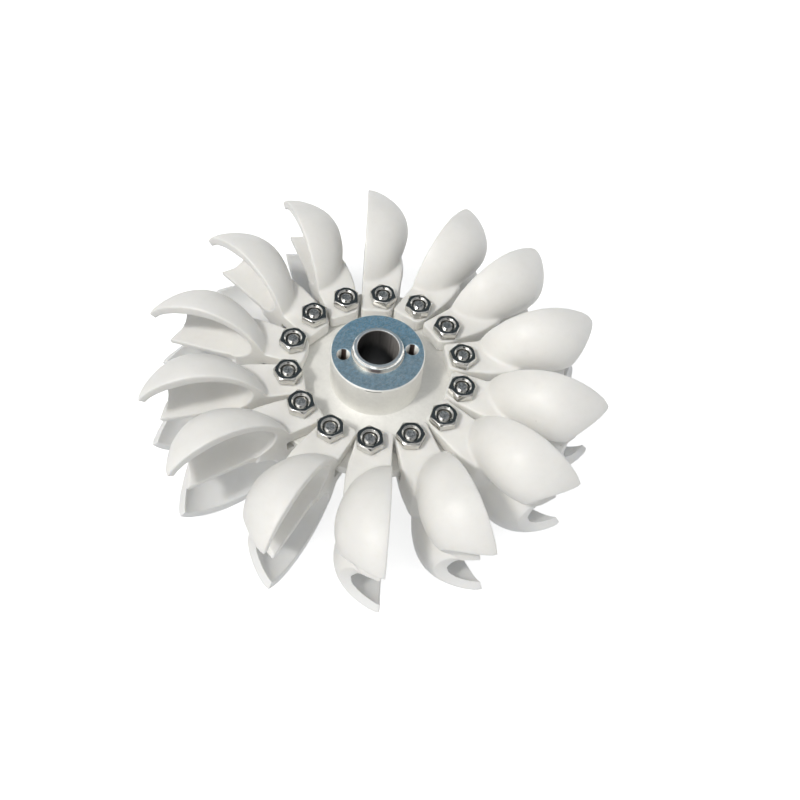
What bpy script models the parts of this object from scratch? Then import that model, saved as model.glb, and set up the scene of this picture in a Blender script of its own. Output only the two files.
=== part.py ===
"""Small Pelton wheel: fourteen moulded twin-cup buckets bolted round a turned metal hub.

Metres, +Z up. The wheel's axis is Z and the origin is the wheel's centre, on the plane that
halves the buckets. In a bucket's own frame X runs outwards from its bolt, Y towards the side
that its cups open to, and Z along the wheel's axis. Sizes are named in millimetres. The working
solids are drawn in millimetres too, and each finished mesh is scaled to metres.
"""
from math import cos, pi, radians, sin

import bmesh
import bpy
from mathutils import Matrix

MM = 0.001
FIT = 0.3
FAR = 100.0
MERGE = 0.0001

# The wheel
BUCKETS = 14
BOLT_CIRCLE = 35.0
FIRST_AZIMUTH = radians(90)
PITCH = 2 * pi / BUCKETS

# How far each bucket has swung about its one bolt, in degrees, anticlockwise from above
SWINGS = (2.2, 0.2, -2.0, 2.0, 2.0, -4.7, 0.0, 0.5, -0.5, 2.0, -1.5, 0.0, 1.0, -3.3)

# A bucket: the plane of its rims, and its fork that straddles the hub's disc
RIM = 8.8
FORK_HALF = 8.7
FORK_INNER_END = ((-4.6, 8.8), (-5.6, 8.4), (-6.0, 7.4), (-6.0, -2.2), (-5.6, -3.1))
FORK_BACK = ((-4.8, -3.8), (-1.5, -5.4), (3.0, -6.1), (10.3, -7.6), (14.0, -8.0), (22.0, -8.0), (27.0, -5.0))
SLOT_END = 10.4

# A cup's outside and inside, as curves along X from the stem's end to the tip's end
OUTSIDE = {
    "middle": 35.4, "stem_reach": 27.6, "tip_reach": 23.3,
    "far": (27.6, (0.0, 2.0, 0.5), (0.0, 1.5, 0.272)),
    "near": (-2.2, (0.0, 2.0, 0.5), (0.0, 1.5, 0.272)),
    "depth": (18.7, (0.0, 1.75, 0.571), (0.0, 2.3, 0.863)),
}
INSIDE = {
    "middle": 33.4, "stem_reach": 18.8, "tip_reach": 21.7,
    "far": (24.1, (11.0, 2.0, 0.6), (9.0, 1.7, 0.42)),
    "near": (1.1, (11.0, 3.0, 0.55), (9.0, 12.0, 0.5)),
    "depth": (15.5, (0.0, 1.8, 0.7), (0.0, 2.6, 0.915)),
}
CUP_RINGS = 11
CUP_SIDES = 16
CUP_LIFT = 0.2

# The splitter between the cups lies a little below the rims, and the notch at the tip
RIDGE_DROP = 0.9
RIDGE_HALF = 1.6
NOTCH_CENTRE = 58.5
NOTCH_HALF_WIDTH = 16.5
NOTCH_DEPTH = 9.0
NOTCH_LEAN = 0.35
NOSE = 1.8
NOSE_HALF = 2.0

# The hub: bore, collar, boss and disc, the same above and below the middle plane
BORE = 8.0
COLLAR = 10.1
COLLAR_CHAMFER = 0.8
COLLAR_TOP = 22.3
BOSS = 18.5
BOSS_CHAMFER = 0.5
BOSS_TOP = 19.2
DISC = 44.0
DISC_HALF = 2.2
HUB_STEPS = 42

# The two tapped holes that a puller screws into
PULLER_CIRCLE = 13.5
PULLER_RADIUS = 2.6
PULLER_DEPTH = 12.0
PULLER_AZIMUTH = radians(11.6)

# M6 bolts and nuts
THREAD = 3.0
BOLT_HOLE = 3.3
ACROSS_FLATS = 10.0
NUT_HEIGHT = 3.9
BOLT_END_DROP = 0.4
HEAD_HEIGHT = 4.0
HEX_CHAMFER = 0.8
HEX_FACE = 4.7
ROUND_SIDES = 12

# Where one corner of each tightened nut points, in degrees anticlockwise from +X
NUT_TURNS = (49, 34, 36, 21, 3, 48, 35, 38, 5, 17, 14, 47, 9, 15)
HEXAGON_FIRST_CORNER = 30


def new_collection(name):
    collection = bpy.data.collections.new(name)
    bpy.context.scene.collection.children.link(collection)
    return collection


def material(name, colour, roughness, metallic):
    made = bpy.data.materials.new(name)
    made.use_nodes = True
    shader = made.node_tree.nodes["Principled BSDF"]
    shader.inputs["Base Color"].default_value = (*colour, 1)
    shader.inputs["Roughness"].default_value = roughness
    shader.inputs["Metallic"].default_value = metallic
    return made


def add_object(name, mesh, collection):
    made = bpy.data.objects.new(name, mesh)
    collection.objects.link(made)
    return made


def as_cutter(name, bm, collection):
    """A working solid from a bmesh, kept out of the render."""
    mesh = bpy.data.meshes.new(name)
    bm.to_mesh(mesh)
    bm.free()
    made = add_object(name, mesh, collection)
    made.hide_render = True
    made.display_type = "WIRE"
    return made


def box(name, low, high, collection):
    bm = bmesh.new()
    bmesh.ops.create_cube(bm, size=1)
    for vert in bm.verts:
        vert.co = [lo + (hi - lo) * (c + 0.5) for c, lo, hi in zip(vert.co, low, high)]
    return as_cutter(name, bm, collection)


def rod(bm, radius, low, high, sides, centre=(0, 0), turn=0.0):
    """An upright round or hexagonal bar between two heights."""
    place = Matrix.Translation((*centre, (low + high) / 2)) @ Matrix.Rotation(turn, 4, "Z")
    bmesh.ops.create_cone(bm, cap_ends=True, segments=sides, radius1=radius, radius2=radius,
                          depth=high - low, matrix=place)


def extruded(name, outline, low, high, collection):
    """A flat outline drawn as a 2D curve, made a solid between two heights."""
    curve = bpy.data.curves.new(name, "CURVE")
    curve.dimensions = "2D"
    curve.fill_mode = "BOTH"
    curve.extrude = (high - low) / 2
    spline = curve.splines.new("POLY")
    spline.points.add(len(outline) - 1)
    for point, (x, y) in zip(spline.points, outline):
        point.co = (x, y, 0, 1)
    spline.use_cyclic_u = True
    drawn = add_object(name, curve, collection)
    mesh = bpy.data.meshes.new_from_object(drawn.evaluated_get(bpy.context.evaluated_depsgraph_get()))
    bpy.data.objects.remove(drawn)
    bm = bmesh.new()
    bm.from_mesh(mesh)
    bmesh.ops.remove_doubles(bm, verts=bm.verts, dist=MERGE)
    bmesh.ops.translate(bm, verts=bm.verts, vec=(0, 0, (low + high) / 2))
    return as_cutter(name, bm, collection)


def turned(name, profile, steps, collection):
    """Radius and height pairs turned about Z by a Screw modifier, left open where they meet the axis."""
    mesh = bpy.data.meshes.new(name)
    count = len(profile)
    closed = profile[0][0] > 0
    edges = [(i, (i + 1) % count) for i in range(count if closed else count - 1)]
    mesh.from_pydata([(r, 0, z) for r, z in profile], edges, [])
    made = add_object(name, mesh, collection)
    screw = made.modifiers.new("turn", "SCREW")
    screw.steps = steps
    screw.render_steps = steps
    screw.use_merge_vertices = True
    screw.merge_threshold = MERGE
    return made


def boolean(target, operation, tool):
    cut = target.modifiers.new(f"{operation.lower()} {tool.name}", "BOOLEAN")
    cut.operation = operation
    cut.solver = "MANIFOLD"
    cut.object = tool


def finished_mesh(made, name):
    """The evaluated mesh of a working object, scaled to metres."""
    mesh = bpy.data.meshes.new_from_object(made.evaluated_get(bpy.context.evaluated_depsgraph_get()))
    mesh.name = name
    mesh.transform(Matrix.Scale(MM, 4))
    return mesh


def smooth(mesh, angle, finish):
    mesh.shade_smooth()
    mesh.set_sharp_from_angle(angle=angle)
    mesh.materials.clear()
    mesh.materials.append(finish)


def swell(along, power, root):
    """1 at the middle of a curved outline and 0 at its end."""
    return max(0.0, 1 - along ** power) ** root


def cup_curve(form, key, along, side):
    middle, stem_end, tip_end = form[key]
    pole, power, root = tip_end if side > 0 else stem_end
    return pole + (middle - pole) * swell(along, power, root)


def cup(name, form, upper, collection):
    """A sphere with its poles along X, reshaped to a cup's outer or inner surface."""
    bm = bmesh.new()
    bmesh.ops.create_uvsphere(bm, u_segments=CUP_SIDES, v_segments=CUP_RINGS, radius=1,
                              matrix=Matrix.Rotation(pi / 2, 4, "Y"))
    for vert in bm.verts:
        side = 1 if vert.co.x > 0 else -1
        along = min(1.0, abs(vert.co.x))
        ring = max(MERGE, (vert.co.y ** 2 + vert.co.z ** 2) ** 0.5)
        far = cup_curve(form, "far", along, side)
        near = cup_curve(form, "near", along, side)
        reach = form["tip_reach"] if side > 0 else form["stem_reach"]
        across = (far + near) / 2 + (far - near) / 2 * vert.co.z / ring
        vert.co = (
            form["middle"] + side * along * reach,
            RIM + CUP_LIFT + cup_curve(form, "depth", along, side) * vert.co.y / ring,
            across if upper else -across,
        )
    if not upper:
        bmesh.ops.reverse_faces(bm, faces=bm.faces)
    return as_cutter(name, bm, collection)


def notch_outline():
    """The notch seen along its own lean: half an ellipse, with the splitter's nose left standing."""
    points = []
    steps = 16
    for i in range(steps + 1):
        turn = pi * i / steps
        across = NOTCH_HALF_WIDTH * cos(turn)
        nose = NOSE * max(0.0, 1 - abs(across) / NOSE_HALF)
        points.append((NOTCH_CENTRE - NOTCH_DEPTH * sin(turn) + nose, across))
    return points + [(FAR, -NOTCH_HALF_WIDTH), (FAR, NOTCH_HALF_WIDTH)]


def notch(collection):
    """The notch's cutter, stood on the rims' plane and leaning in towards the bucket's back."""
    made = extruded("notch_cutter", notch_outline(), -FAR / 2, FAR / 2, collection)
    lean = Matrix(((1, 0, NOTCH_LEAN, 0), (0, 0, 1, RIM), (0, 1, 0, 0), (0, 0, 0, 1)))
    bm = bmesh.new()
    bm.from_mesh(made.data)
    bmesh.ops.transform(bm, matrix=lean, verts=bm.verts)
    bmesh.ops.reverse_faces(bm, faces=bm.faces)
    bm.to_mesh(made.data)
    bm.free()
    return made


def bucket_mesh(cutters):
    """One bucket: twin cups, splitter, tip notch and forked stem, round the bolt at the origin."""
    outline = [(FORK_INNER_END[0][0], RIM + FIT)]
    outline += list(FORK_INNER_END + FORK_BACK)
    outline += [(FORK_BACK[-1][0], RIM + FIT)]
    stem = extruded("stem", outline, -FORK_HALF, FORK_HALF, cutters)
    for side, upper in (("upper", True), ("lower", False)):
        boolean(stem, "UNION", cup(f"{side}_cup_outside", OUTSIDE, upper, cutters))
    boolean(stem, "DIFFERENCE", box("above_the_rims", (-FAR, RIM, -FAR), (FAR, FAR, FAR), cutters))
    for side, upper in (("upper", True), ("lower", False)):
        boolean(stem, "DIFFERENCE", cup(f"{side}_cup_inside", INSIDE, upper, cutters))
    ridge_from = INSIDE["middle"] - INSIDE["stem_reach"] * 0.6
    boolean(stem, "DIFFERENCE", box("above_the_ridge", (ridge_from, RIM - RIDGE_DROP, -RIDGE_HALF),
                                    (FAR, FAR, RIDGE_HALF), cutters))
    boolean(stem, "DIFFERENCE", notch(cutters))
    slot_half = DISC_HALF + FIT
    boolean(stem, "DIFFERENCE", box("disc_slot", (-FAR, -FAR, -slot_half), (SLOT_END, FAR, slot_half), cutters))
    bm = bmesh.new()
    rod(bm, BOLT_HOLE, -FORK_HALF - FIT, FORK_HALF + FIT, ROUND_SIDES)
    boolean(stem, "DIFFERENCE", as_cutter("stem_bolt_hole", bm, cutters))
    return finished_mesh(stem, "bucket")


def hub_profile():
    """The hub's section, from the bore's top outwards and down its outer side."""
    upper = [
        (BORE, COLLAR_TOP),
        (COLLAR - COLLAR_CHAMFER, COLLAR_TOP),
        (COLLAR, COLLAR_TOP - COLLAR_CHAMFER),
        (COLLAR, BOSS_TOP),
        (BOSS - BOSS_CHAMFER, BOSS_TOP),
        (BOSS, BOSS_TOP - BOSS_CHAMFER),
        (BOSS, DISC_HALF),
        (DISC, DISC_HALF),
    ]
    return upper + [(r, -z) for r, z in reversed(upper)]


def around(radius, azimuth):
    return (radius * cos(azimuth), radius * sin(azimuth))


def bolt_azimuth(number):
    return FIRST_AZIMUTH + number * PITCH


def make_hub(parts, cutters, metal):
    hub = turned("hub", hub_profile(), HUB_STEPS, parts)
    bm = bmesh.new()
    for number in range(BUCKETS):
        rod(bm, BOLT_HOLE, -FORK_HALF, FORK_HALF, ROUND_SIDES, around(BOLT_CIRCLE, bolt_azimuth(number)))
    boolean(hub, "DIFFERENCE", as_cutter("disc_bolt_holes", bm, cutters))
    bm = bmesh.new()
    for turn in (PULLER_AZIMUTH, PULLER_AZIMUTH + pi):
        centre = around(PULLER_CIRCLE, turn)
        rod(bm, PULLER_RADIUS, BOSS_TOP - PULLER_DEPTH, BOSS_TOP + FIT, ROUND_SIDES, centre)
        rod(bm, PULLER_RADIUS, -BOSS_TOP - FIT, -BOSS_TOP + PULLER_DEPTH, ROUND_SIDES, centre)
    boolean(hub, "DIFFERENCE", as_cutter("puller_holes", bm, cutters))
    mesh = finished_mesh(hub, "hub")
    hub.modifiers.clear()
    hub.data = mesh
    smooth(mesh, radians(30), metal)


def chamfer_cone(name, low, high, bottom_too, cutters):
    """A turned blank that takes the corners off a hexagon's end faces."""
    corner = ACROSS_FLATS / 2 / cos(pi / 6)
    profile = [(0, high), (HEX_FACE, high), (corner + FIT, high - HEX_CHAMFER)]
    if bottom_too:
        profile += [(corner + FIT, low + HEX_CHAMFER), (HEX_FACE, low), (0, low)]
    else:
        profile += [(corner + FIT, low - FIT), (0, low - FIT)]
    blank = turned(name, profile, ROUND_SIDES, cutters)
    blank.hide_render = True
    blank.display_type = "WIRE"
    blank.rotation_euler = (0, 0, pi / ROUND_SIDES)
    return blank


def nut_mesh(cutters):
    corner = ACROSS_FLATS / 2 / cos(pi / 6)
    bm = bmesh.new()
    rod(bm, corner, 0, NUT_HEIGHT, 6)
    nut = as_cutter("nut_blank", bm, cutters)
    boolean(nut, "INTERSECT", chamfer_cone("nut_chamfer", 0, NUT_HEIGHT, True, cutters))
    bm = bmesh.new()
    rod(bm, BOLT_HOLE, -FIT, NUT_HEIGHT + FIT, ROUND_SIDES, turn=pi / ROUND_SIDES)
    boolean(nut, "DIFFERENCE", as_cutter("nut_bore", bm, cutters))
    return finished_mesh(nut, "nut")


def bolt_mesh(cutters):
    """A hexagon-headed bolt pushed up from below, its end just inside the nut's top."""
    corner = ACROSS_FLATS / 2 / cos(pi / 6)
    seat = -FORK_HALF - FIT
    bm = bmesh.new()
    rod(bm, corner, seat - HEAD_HEIGHT, seat, 6)
    bolt = as_cutter("bolt_head", bm, cutters)
    low = seat - HEAD_HEIGHT
    tool = chamfer_cone("head_chamfer", -seat, -low, False, cutters)
    tool.rotation_euler = (pi, 0, pi / ROUND_SIDES)
    boolean(bolt, "INTERSECT", tool)
    bm = bmesh.new()
    rod(bm, THREAD, seat - HEAD_HEIGHT / 2, FORK_HALF + FIT + NUT_HEIGHT - BOLT_END_DROP, ROUND_SIDES)
    boolean(bolt, "UNION", as_cutter("bolt_shank", bm, cutters))
    return finished_mesh(bolt, "bolt")


def main():
    for item in list(bpy.data.objects):
        bpy.data.objects.remove(item)
    parts = new_collection("pelton_wheel")
    cutters = new_collection("cutters")
    nylon = material("white_nylon", (0.80, 0.79, 0.76), 0.42, 0.0)
    metal = material("turned_metal", (0.66, 0.68, 0.68), 0.22, 1.0)
    steel = material("polished_steel", (0.62, 0.61, 0.59), 0.12, 1.0)

    make_hub(parts, cutters, metal)
    bucket = bucket_mesh(cutters)
    smooth(bucket, radians(30), nylon)
    nut = nut_mesh(cutters)
    smooth(nut, radians(20), steel)
    bolt = bolt_mesh(cutters)
    smooth(bolt, radians(20), steel)
    for number in range(BUCKETS):
        azimuth = bolt_azimuth(number)
        x, y = around(BOLT_CIRCLE, azimuth)
        for name, mesh, height, turn in (
            ("bucket", bucket, 0, azimuth + radians(SWINGS[number])),
            ("nut", nut, FORK_HALF + FIT, radians(NUT_TURNS[number] - HEXAGON_FIRST_CORNER)),
            ("bolt", bolt, 0, azimuth),
        ):
            made = add_object(f"{name}_{number + 1:02d}", mesh, parts)
            made.location = (x * MM, y * MM, height * MM)
            made.rotation_euler = (0, 0, turn)


main()
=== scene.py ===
"""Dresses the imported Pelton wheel: moulded nylon buckets, a turned hub, polished nuts and bolts.

The file is laid out as an add-on and is run as a script. Everything it makes is in metres, in the
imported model's frame: +Z along the wheel's axis towards the nuts, +Y through bucket_01's bolt. A
bucket is modelled in its own frame first, X outwards from its bolt and Y the way its cups open.
Constants are in millimetres unless they say otherwise.
"""

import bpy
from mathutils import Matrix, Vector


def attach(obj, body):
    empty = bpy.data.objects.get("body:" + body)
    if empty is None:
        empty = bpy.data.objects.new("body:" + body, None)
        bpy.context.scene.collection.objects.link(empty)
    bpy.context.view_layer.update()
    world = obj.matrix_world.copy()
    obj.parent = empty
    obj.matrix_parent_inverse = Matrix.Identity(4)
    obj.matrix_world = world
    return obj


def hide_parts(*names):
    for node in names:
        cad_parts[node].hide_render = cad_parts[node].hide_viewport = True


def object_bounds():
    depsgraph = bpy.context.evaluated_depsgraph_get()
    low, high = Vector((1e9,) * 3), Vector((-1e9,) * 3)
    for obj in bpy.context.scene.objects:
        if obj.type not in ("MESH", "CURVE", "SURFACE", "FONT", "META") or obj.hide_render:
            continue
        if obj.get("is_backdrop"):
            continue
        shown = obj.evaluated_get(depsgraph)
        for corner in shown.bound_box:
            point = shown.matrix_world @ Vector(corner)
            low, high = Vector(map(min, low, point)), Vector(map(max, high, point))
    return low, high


bl_info = {
    "name": "Pelton Wheel",
    "version": (1, 0, 0),
    "blender": (4, 5, 0),
    "location": "3D View > Sidebar > Pelton Wheel",
    "description": "Models the buckets, hub, nuts and bolts of a small Pelton wheel, and a plain studio",
    "category": "Object",
}

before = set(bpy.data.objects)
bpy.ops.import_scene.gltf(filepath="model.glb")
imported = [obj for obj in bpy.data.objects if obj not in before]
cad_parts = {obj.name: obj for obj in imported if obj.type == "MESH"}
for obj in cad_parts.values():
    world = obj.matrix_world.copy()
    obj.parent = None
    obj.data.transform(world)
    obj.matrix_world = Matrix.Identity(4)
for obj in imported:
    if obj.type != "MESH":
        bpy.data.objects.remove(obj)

from math import cos, pi, radians, sin, sqrt

import bpy
from bpy.props import FloatProperty, FloatVectorProperty, IntProperty, PointerProperty
from mathutils import Matrix, Vector

# A millimetre in metres, a width that closes a form, a reach past every piece, and a weld's reach
MM = 0.001
TINY = 0.0001
FAR = 100.0
WELD = 0.002

# The wheel. SWINGS is how far each bucket is turned about its bolt, in degrees.
BUCKETS = 14
BOLT_CIRCLE = 35.0
FIRST_AZIMUTH = radians(90)
PITCH = 2 * pi / BUCKETS
SWINGS = (2.2, 0.2, -2.0, 2.0, 2.0, -4.7, 0.0, 0.5, -0.5, 2.0, -1.5, 0.0, 1.0, -3.3)

# A bucket's stem, whose fork straddles the disc. It is drawn a little over the rim and cut there.
RIM = 8.8
FORK_HALF = 8.7
FORK_END = -6.0
FORK_CORNER = 1.5
CORNER_STEPS = 6
FORK_BACK = ((-6.0, -3.2), (-1.5, -5.4), (3.0, -6.1), (10.3, -7.6), (14.0, -8.0), (22.0, -8.0), (27.0, -5.0))
STEM_STATIONS = (-3, -1.5, 1, 3, 6.5, 10.3, 12, 14, 18, 22, 24, 27)
OVER_RIM = 0.6
SLOT_END = 10.4
BOLT_HOLE = 3.3

# A cup's outside and inside. Each curve is its value at the cup's middle, and then, for the stem's
# end and for the tip's, the value that it falls to and the power and root that it falls by.
OUTSIDE = {
    "middle": 35.4, "stem_reach": 27.6, "tip_reach": 23.3,
    "far": (27.35, (0.0, 2.0, 0.5), (0.0, 1.5, 0.272)),
    "near": (-2.2, (0.0, 2.0, 0.5), (0.0, 1.5, 0.272)),
    "depth": (18.7, (0.0, 1.75, 0.571), (0.0, 2.3, 0.863)),
}
INSIDE = {
    "middle": 33.4, "stem_reach": 18.8, "tip_reach": 21.7,
    "far": (22.9, (11.0, 2.0, 0.6), (9.0, 1.7, 0.42)),
    "near": (1.1, (11.0, 3.0, 0.55), (9.0, 12.0, 0.5)),
    "depth": (15.5, (0.0, 1.8, 0.7), (0.0, 2.6, 0.915)),
}
CUP_RINGS = 44
CUP_SIDES = 64
CUP_END = radians(89.7)

# The splitter between the cups, lowered from a share of the way to the stem, and the tip's notch
RIDGE_DROP = 0.9
RIDGE_HALF = 1.6
RIDGE_START = 0.6
NOTCH_CENTRE = 58.5
NOTCH_HALF_WIDTH = 16.5
NOTCH_DEPTH = 9.0
NOTCH_LEAN = 0.35
NOSE = 1.8
NOSE_HALF = 2.0

# Where a bucket's moulded joins and its cups' lips are smoothed, and the first, coarser grid
JOIN = ((8.5, -12.0, -24.0), (30.0, 7.5, 24.0))
LIPS = ((14.0, RIM - 1.3, -30.0), (64.0, RIM + 1.0, 30.0))
LIPS_FROM_MIDDLE = 3.0
ROUGH_GRID = 0.5

# The hub, the same above and below the middle plane
DISC_HALF = 2.2
DISC_GAP = 0.3
COLLAR_TOP = 22.3
BOSS_TOP = 19.2
PULLER_AZIMUTH = radians(11.6)
PULLER_CIRCLE = 13.5
PULLER_DEPTH = 12.0
PULLER_THREAD = 0.35
PULLER_PITCH = 0.8
HUB_SIDES = 144

# Nuts and bolts. NUT_TURNS is one corner's azimuth on each nut, in degrees, and a hexagon is
# drawn with its first corner at FIRST_CORNER. CORNERS_TURNED_OFF is how far past the flats and how
# far from the end each point of the chamfer lies. A thread is its inner and its outer radius.
NUT_BOTTOM = 9.0
NUT_TOP = 12.9
NUT_TURNS = (49, 34, 36, 21, 3, 48, 35, 38, 5, 17, 14, 47, 9, 15)
FIRST_CORNER = 30
EDGE_ROUNDING = 0.5
CORNERS_TURNED_OFF = ((1.1, 0.85), (0.5, 0.45), (0.0, 0.12), (-0.3, 0.0))
NUT_THREAD = (2.8, 3.05)
NUT_PITCH = 0.7
NUT_EDGE = 0.06
BOLT_THREAD = (2.35, 2.6)
BOLT_PITCH = 1.0
SHANK = 2.9
BOLT_END = 12.5
BOLT_CHAMFER = 0.62
HEAD_TOP = -9.0
HEAD_BOTTOM = -13.0
ROUND_SIDES = 48

# The camera: where it stands from the bolts' ends, in millimetres, and how it is turned
CAMERA_ELEVATION = radians(54.1445)
CAMERA_DISTANCE = 330.78
CAMERA_AIM = (0.03185, -0.04260)
CAMERA_ROLL = radians(5.758)
CAMERA_AZIMUTH = radians(-0.37)
FOCAL_LENGTH = 37.674
SENSOR_WIDTH = 36

# The studio, in metres: its floor rises to a rim, and each lamp shines at the wheel
FLOOR_RADIUS = 1.6
FLOOR_RIM_WIDTH = 0.4
FLOOR_RIM_HEIGHT = 0.50
FLOOR_GAP = 0.0002
FLOOR_GLOW = 0.62
KEY_SPOT = (-0.58, -0.45, 1.08)
KEY_WIDTH = 0.16
KEY_COLOUR = (1.0, 0.975, 0.94)
FILL_SPOT = (-0.24, -1.11, 0.45)
FILL_WIDTH = 0.4
FILL_COLOUR = (0.97, 0.985, 1.0)
REAR_SPOT = (0.66, 0.93, 0.72)
REAR_WIDTH = 0.9

# Directions that the room's brightness is measured along
DIM_WAY = (0.8, -0.6, 0.0)
PAPER_WAY = (0.9, -0.43, 0.0)

# Dark specks in the nylon: how fine their cells are, and the share of cells that has none
SPECK_CELLS = 210.0
SPECKLESS = 0.93

# Colours of small places and of the room that the metal reflects. Above 1 is brighter than white.
CLOUDY_NYLON = (0.74, 0.72, 0.66)
WARM_NYLON = (1.0, 0.985, 0.945)
NYLON_PAINTED_LOW_SHADE = (0.85, 0.865, 0.88)
SPECK = (0.30, 0.27, 0.22)
FACE_TINT = (0.64, 0.98, 1.12)
FACE_GRAIN = (0.50, 0.60, 0.64)
FACE_SCRATCH = (0.74, 0.82, 0.85)
BORE_SHADE_PALER = (0.085, 0.08, 0.078)
BORE_SHADE_DEEPER = (0.045, 0.043, 0.04)
BORE_PAINTED_LIGHT = (0.38, 0.36, 0.345)
BORE_PAINTED_BLACK_SHADE = (0.006, 0.007, 0.008)
COLLAR_PAINTED_DARK_REFLECTION = (0.16, 0.12, 0.11)
COLLAR_PAINTED_CREAM_REFLECTION = (0.70, 0.64, 0.56)
COLLAR_TOP_GREY = (0.50, 0.57, 0.62)
COLLAR_GLOW_PAINTED_ON_FACE = (0.86, 0.82, 0.72)
EDGE_DARK_MARK = (0.05, 0.035, 0.03)
HOLE_PAINTED_DARK_BAND = (0.05, 0.03, 0.025)
HOLE_PAINTED_FLOOR_SHADE = (0.06, 0.05, 0.045)
SAWN_DARK = (0.36, 0.38, 0.39)
SAWN_BRIGHT = (0.95, 0.96, 0.97)
THREAD_GREY = (0.22, 0.22, 0.22)
WHITE = (1.0, 1.0, 1.0)
ROOM_LOW = (0.64, 0.63, 0.61)
ROOM_HIGH = (1.16, 1.16, 1.16)
ROOM_RIGHT = (0.30, 0.31, 0.32)
ROOM_REAR = (0.06, 0.075, 0.085)
ROOM_LAMP = (3.0, 2.95, 2.85)
ROOM_FRONT = (0.06, 0.06, 0.06)
ROOM_GROUND = (0.07, 0.078, 0.09)
ROOM_PAPER = (0.80, 0.80, 0.80)


class WheelSizes(bpy.types.PropertyGroup):
    """The hub's and the fasteners' sizes that a user would change."""
    bore: FloatProperty(name="Bore radius", description="Radius of the hole for the shaft",
                        default=0.008, unit="LENGTH")
    collar: FloatProperty(name="Collar radius", description="Radius of the raised ring round the bore",
                          default=0.0101, unit="LENGTH")
    boss: FloatProperty(name="Boss radius", description="Radius of the round boss",
                        default=0.0185, unit="LENGTH")
    disc: FloatProperty(name="Disc radius", description="Radius of the disc that carries the buckets",
                        default=0.044, unit="LENGTH")
    puller: FloatProperty(name="Puller hole radius", description="Radius of the two tapped holes",
                          default=0.0026, unit="LENGTH")
    nut: FloatProperty(name="Across flats", description="Width of the nuts and bolt heads over two flats",
                       default=0.010, unit="LENGTH")
    bolt: FloatProperty(name="Bolt end radius", description="Radius of the flat on each bolt's end",
                        default=0.0018, unit="LENGTH")
    fine: FloatProperty(name="Moulding detail", description="Grid that the bucket's surface is remade on",
                        default=0.00038, unit="LENGTH", min=0.0002, max=0.002)
    faces: IntProperty(name="Bucket faces", description="Triangles left on each bucket",
                       default=26000, min=2000, max=60000)


class WheelColours(bpy.types.PropertyGroup):
    """The colours that a user would change."""
    nylon: FloatVectorProperty(name="Nylon", description="Colour of the moulded buckets",
                               default=(0.872, 0.866, 0.842), subtype="COLOR", min=0, max=1)
    turned: FloatVectorProperty(name="Hub metal", description="Colour of the turned hub",
                                default=(0.93, 0.925, 0.89), subtype="COLOR", min=0, max=1)
    faced: FloatVectorProperty(name="Boss face", description="Bluish colour of the boss's faced ends",
                               default=(0.33, 0.52, 0.66), subtype="COLOR", min=0, max=1)
    steel: FloatVectorProperty(name="Fasteners", description="Colour of the polished nuts and bolts",
                               default=(0.66, 0.65, 0.62), subtype="COLOR", min=0, max=1)
    floor: FloatVectorProperty(name="Floor", description="Colour of the studio floor",
                               default=(0.93, 0.93, 0.93), subtype="COLOR", min=0, max=1)


class StudioLight(bpy.types.PropertyGroup):
    """The studio's lights."""
    sky: FloatProperty(name="Surround", description="Brightness of the white surround", default=0.90, min=0)
    key: FloatProperty(name="Key light", description="Power of the lamp at the front left", default=6.2,
                       min=0, unit="POWER")
    fill: FloatProperty(name="Fill light", description="Power of the low lamp at the front", default=0.6,
                        min=0, unit="POWER")
    rear: FloatProperty(name="Rear light", description="Power of the large soft lamp behind the wheel",
                        default=3.4, min=0, unit="POWER")


# Modelling

def alone(made):
    """Makes one object the only selected one, and the active one."""
    bpy.ops.object.select_all(action="DESELECT")
    made.select_set(True)
    bpy.context.view_layer.objects.active = made


def place(made, turn, x, y):
    """Turns an object about the wheel's axis, moves it and writes its place into its mesh."""
    alone(made)
    made.rotation_euler = (0, 0, turn)
    made.location = (x, y, 0)
    bpy.ops.object.transform_apply(location=True, rotation=True, scale=True)


def drawn(name, axis, sections, sides, turn=0.0, looped=False):
    """Extrudes a ring through sections along an axis. A section is its centre and its half widths."""
    bpy.ops.object.select_all(action="DESELECT")
    bpy.ops.mesh.primitive_circle_add(vertices=sides, radius=MM, rotation=(0, 0, turn),
                                      fill_type="NOTHING" if looped else "NGON")
    made = bpy.context.object
    made.name = name
    bpy.ops.object.transform_apply(location=False, rotation=True, scale=False)
    made.rotation_euler = {"X": (0, pi / 2, 0), "Y": (pi / 2, 0, 0), "Z": (0, 0, 0)}[axis]
    bpy.ops.object.transform_apply(location=False, rotation=True, scale=False)
    bpy.ops.object.mode_set(mode="EDIT")
    bpy.ops.mesh.select_all(action="SELECT")
    centre, size = Vector((0, 0, 0)), (1, 1, 1)
    for number, (next_centre, next_size) in enumerate(sections):
        step = Vector(next_centre) * MM - centre
        if number:
            bpy.ops.mesh.extrude_region_move(TRANSFORM_OT_translate={"value": step})
        else:
            bpy.ops.transform.translate(value=step)
        centre = Vector(next_centre) * MM
        ratio = [after / before for before, after in zip(size, next_size)]
        bpy.ops.transform.resize(value=ratio, center_override=centre)
        size = next_size
    bpy.ops.mesh.select_all(action="SELECT")
    if looped:
        bpy.ops.mesh.remove_doubles(threshold=WELD * MM)
    bpy.ops.mesh.normals_make_consistent(inside=False)
    bpy.ops.object.mode_set(mode="OBJECT")
    return made


def lathed(name, profile, sides, looped=False):
    """A round piece from radius and height pairs."""
    return drawn(name, "Z", [((0, 0, z), (r, r, 1)) for r, z in profile], sides, looped=looped)


def block(name, low, high):
    """A plain block, used as a cutting tool."""
    bpy.ops.object.select_all(action="DESELECT")
    middle = [(a + b) / 2 * MM for a, b in zip(low, high)]
    sizes = [(b - a) * MM for a, b in zip(low, high)]
    bpy.ops.mesh.primitive_cube_add(size=1, location=middle, scale=sizes)
    made = bpy.context.object
    made.name = name
    bpy.ops.object.transform_apply(location=True, rotation=True, scale=True)
    return made


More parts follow.
